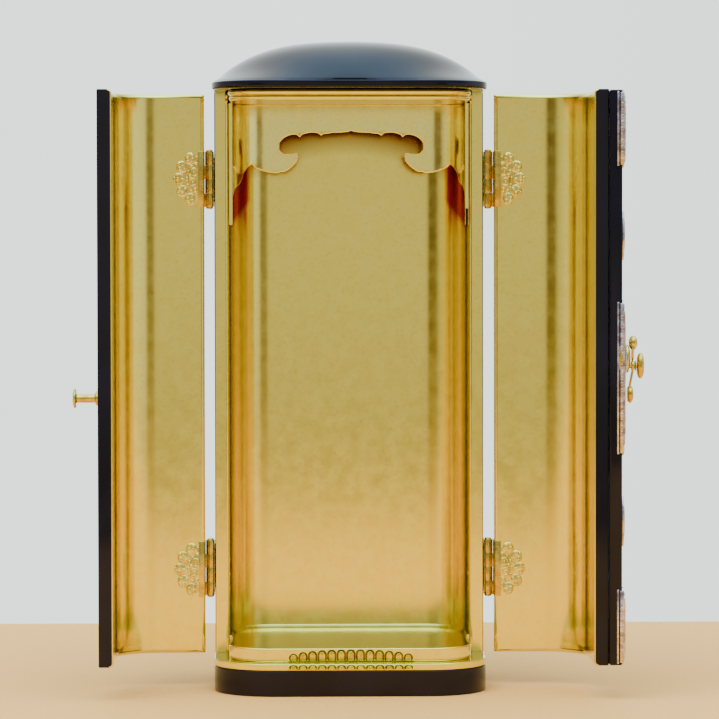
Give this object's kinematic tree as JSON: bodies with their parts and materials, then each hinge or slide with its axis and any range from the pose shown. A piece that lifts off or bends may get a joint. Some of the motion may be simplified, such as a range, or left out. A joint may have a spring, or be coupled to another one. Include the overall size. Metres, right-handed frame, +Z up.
{
  "type": "miniature buddhist shrine",
  "caption": "Small lacquered and gilded shrine case with a domed roof, a cusped valance, a dais for a figure and hinged doors bent round its corners.",
  "frame": {"origin": "centre of the plinth's underside, on the surface that it stands on", "axes": "+Z up, -Y towards the viewer in front of the open doors, +X to the right seen from the front"},
  "size_m": [0.2063, 0.0971, 0.2402],
  "materials": {
    "black_lacquer": "polished black urushi lacquer on wood",
    "gold_leaf": "burnished gold leaf on lacquered wood",
    "gilt_brass": "gilt and chased sheet brass"
  },
  "bodies": {
    "case": {"plinth": "black_lacquer", "sill_plate": "gold_leaf", "dais": "gold_leaf", "ceiling_board": "gold_leaf", "case_shell": "black_lacquer", "roof": "black_lacquer", "valance": "gold_leaf", "left_lower_case_leaf": "gilt_brass", "left_upper_case_leaf": "gilt_brass", "right_lower_case_leaf": "gilt_brass", "right_upper_case_leaf": "gilt_brass", "left_lower_hinge_pin": "gilt_brass", "left_upper_hinge_pin": "gilt_brass", "right_lower_hinge_pin": "gilt_brass", "right_upper_hinge_pin": "gilt_brass"},
    "left_door": {"door_left": "black_lacquer", "latch_stud": "gilt_brass", "left_lower_door_leaf": "gilt_brass", "left_upper_door_leaf": "gilt_brass"},
    "right_door": {"door_right": "black_lacquer", "cover_strip": "black_lacquer", "cap_lower": "gilt_brass", "cap_middle": "gilt_brass", "cap_upper": "gilt_brass", "leaf_lower": "gilt_brass", "leaf_upper": "gilt_brass", "latch_post": "gilt_brass", "right_lower_door_leaf": "gilt_brass", "right_upper_door_leaf": "gilt_brass"},
    "hasp": {"hasp": "gilt_brass"}
  },
  "joints": [
    {"name": "left_hinge", "type": "hinge", "parent": "case", "child": "left_door", "pos_m": [-0.05213, -0.00105, 0.1163], "axis": [0, 0, 1], "range_deg": [-81, 89]},
    {"name": "right_hinge", "type": "hinge", "parent": "case", "child": "right_door", "pos_m": [0.05213, -0.00105, 0.1163], "axis": [0, 0, -1], "range_deg": [-77, 91]},
    {"name": "hasp_pivot", "type": "hinge", "parent": "right_door", "child": "hasp", "pos_m": [0.09917, -0.05142, 0.1208], "axis": [0.9998, 0.0175, 0], "range_deg": [-80, 80]}
  ]
}
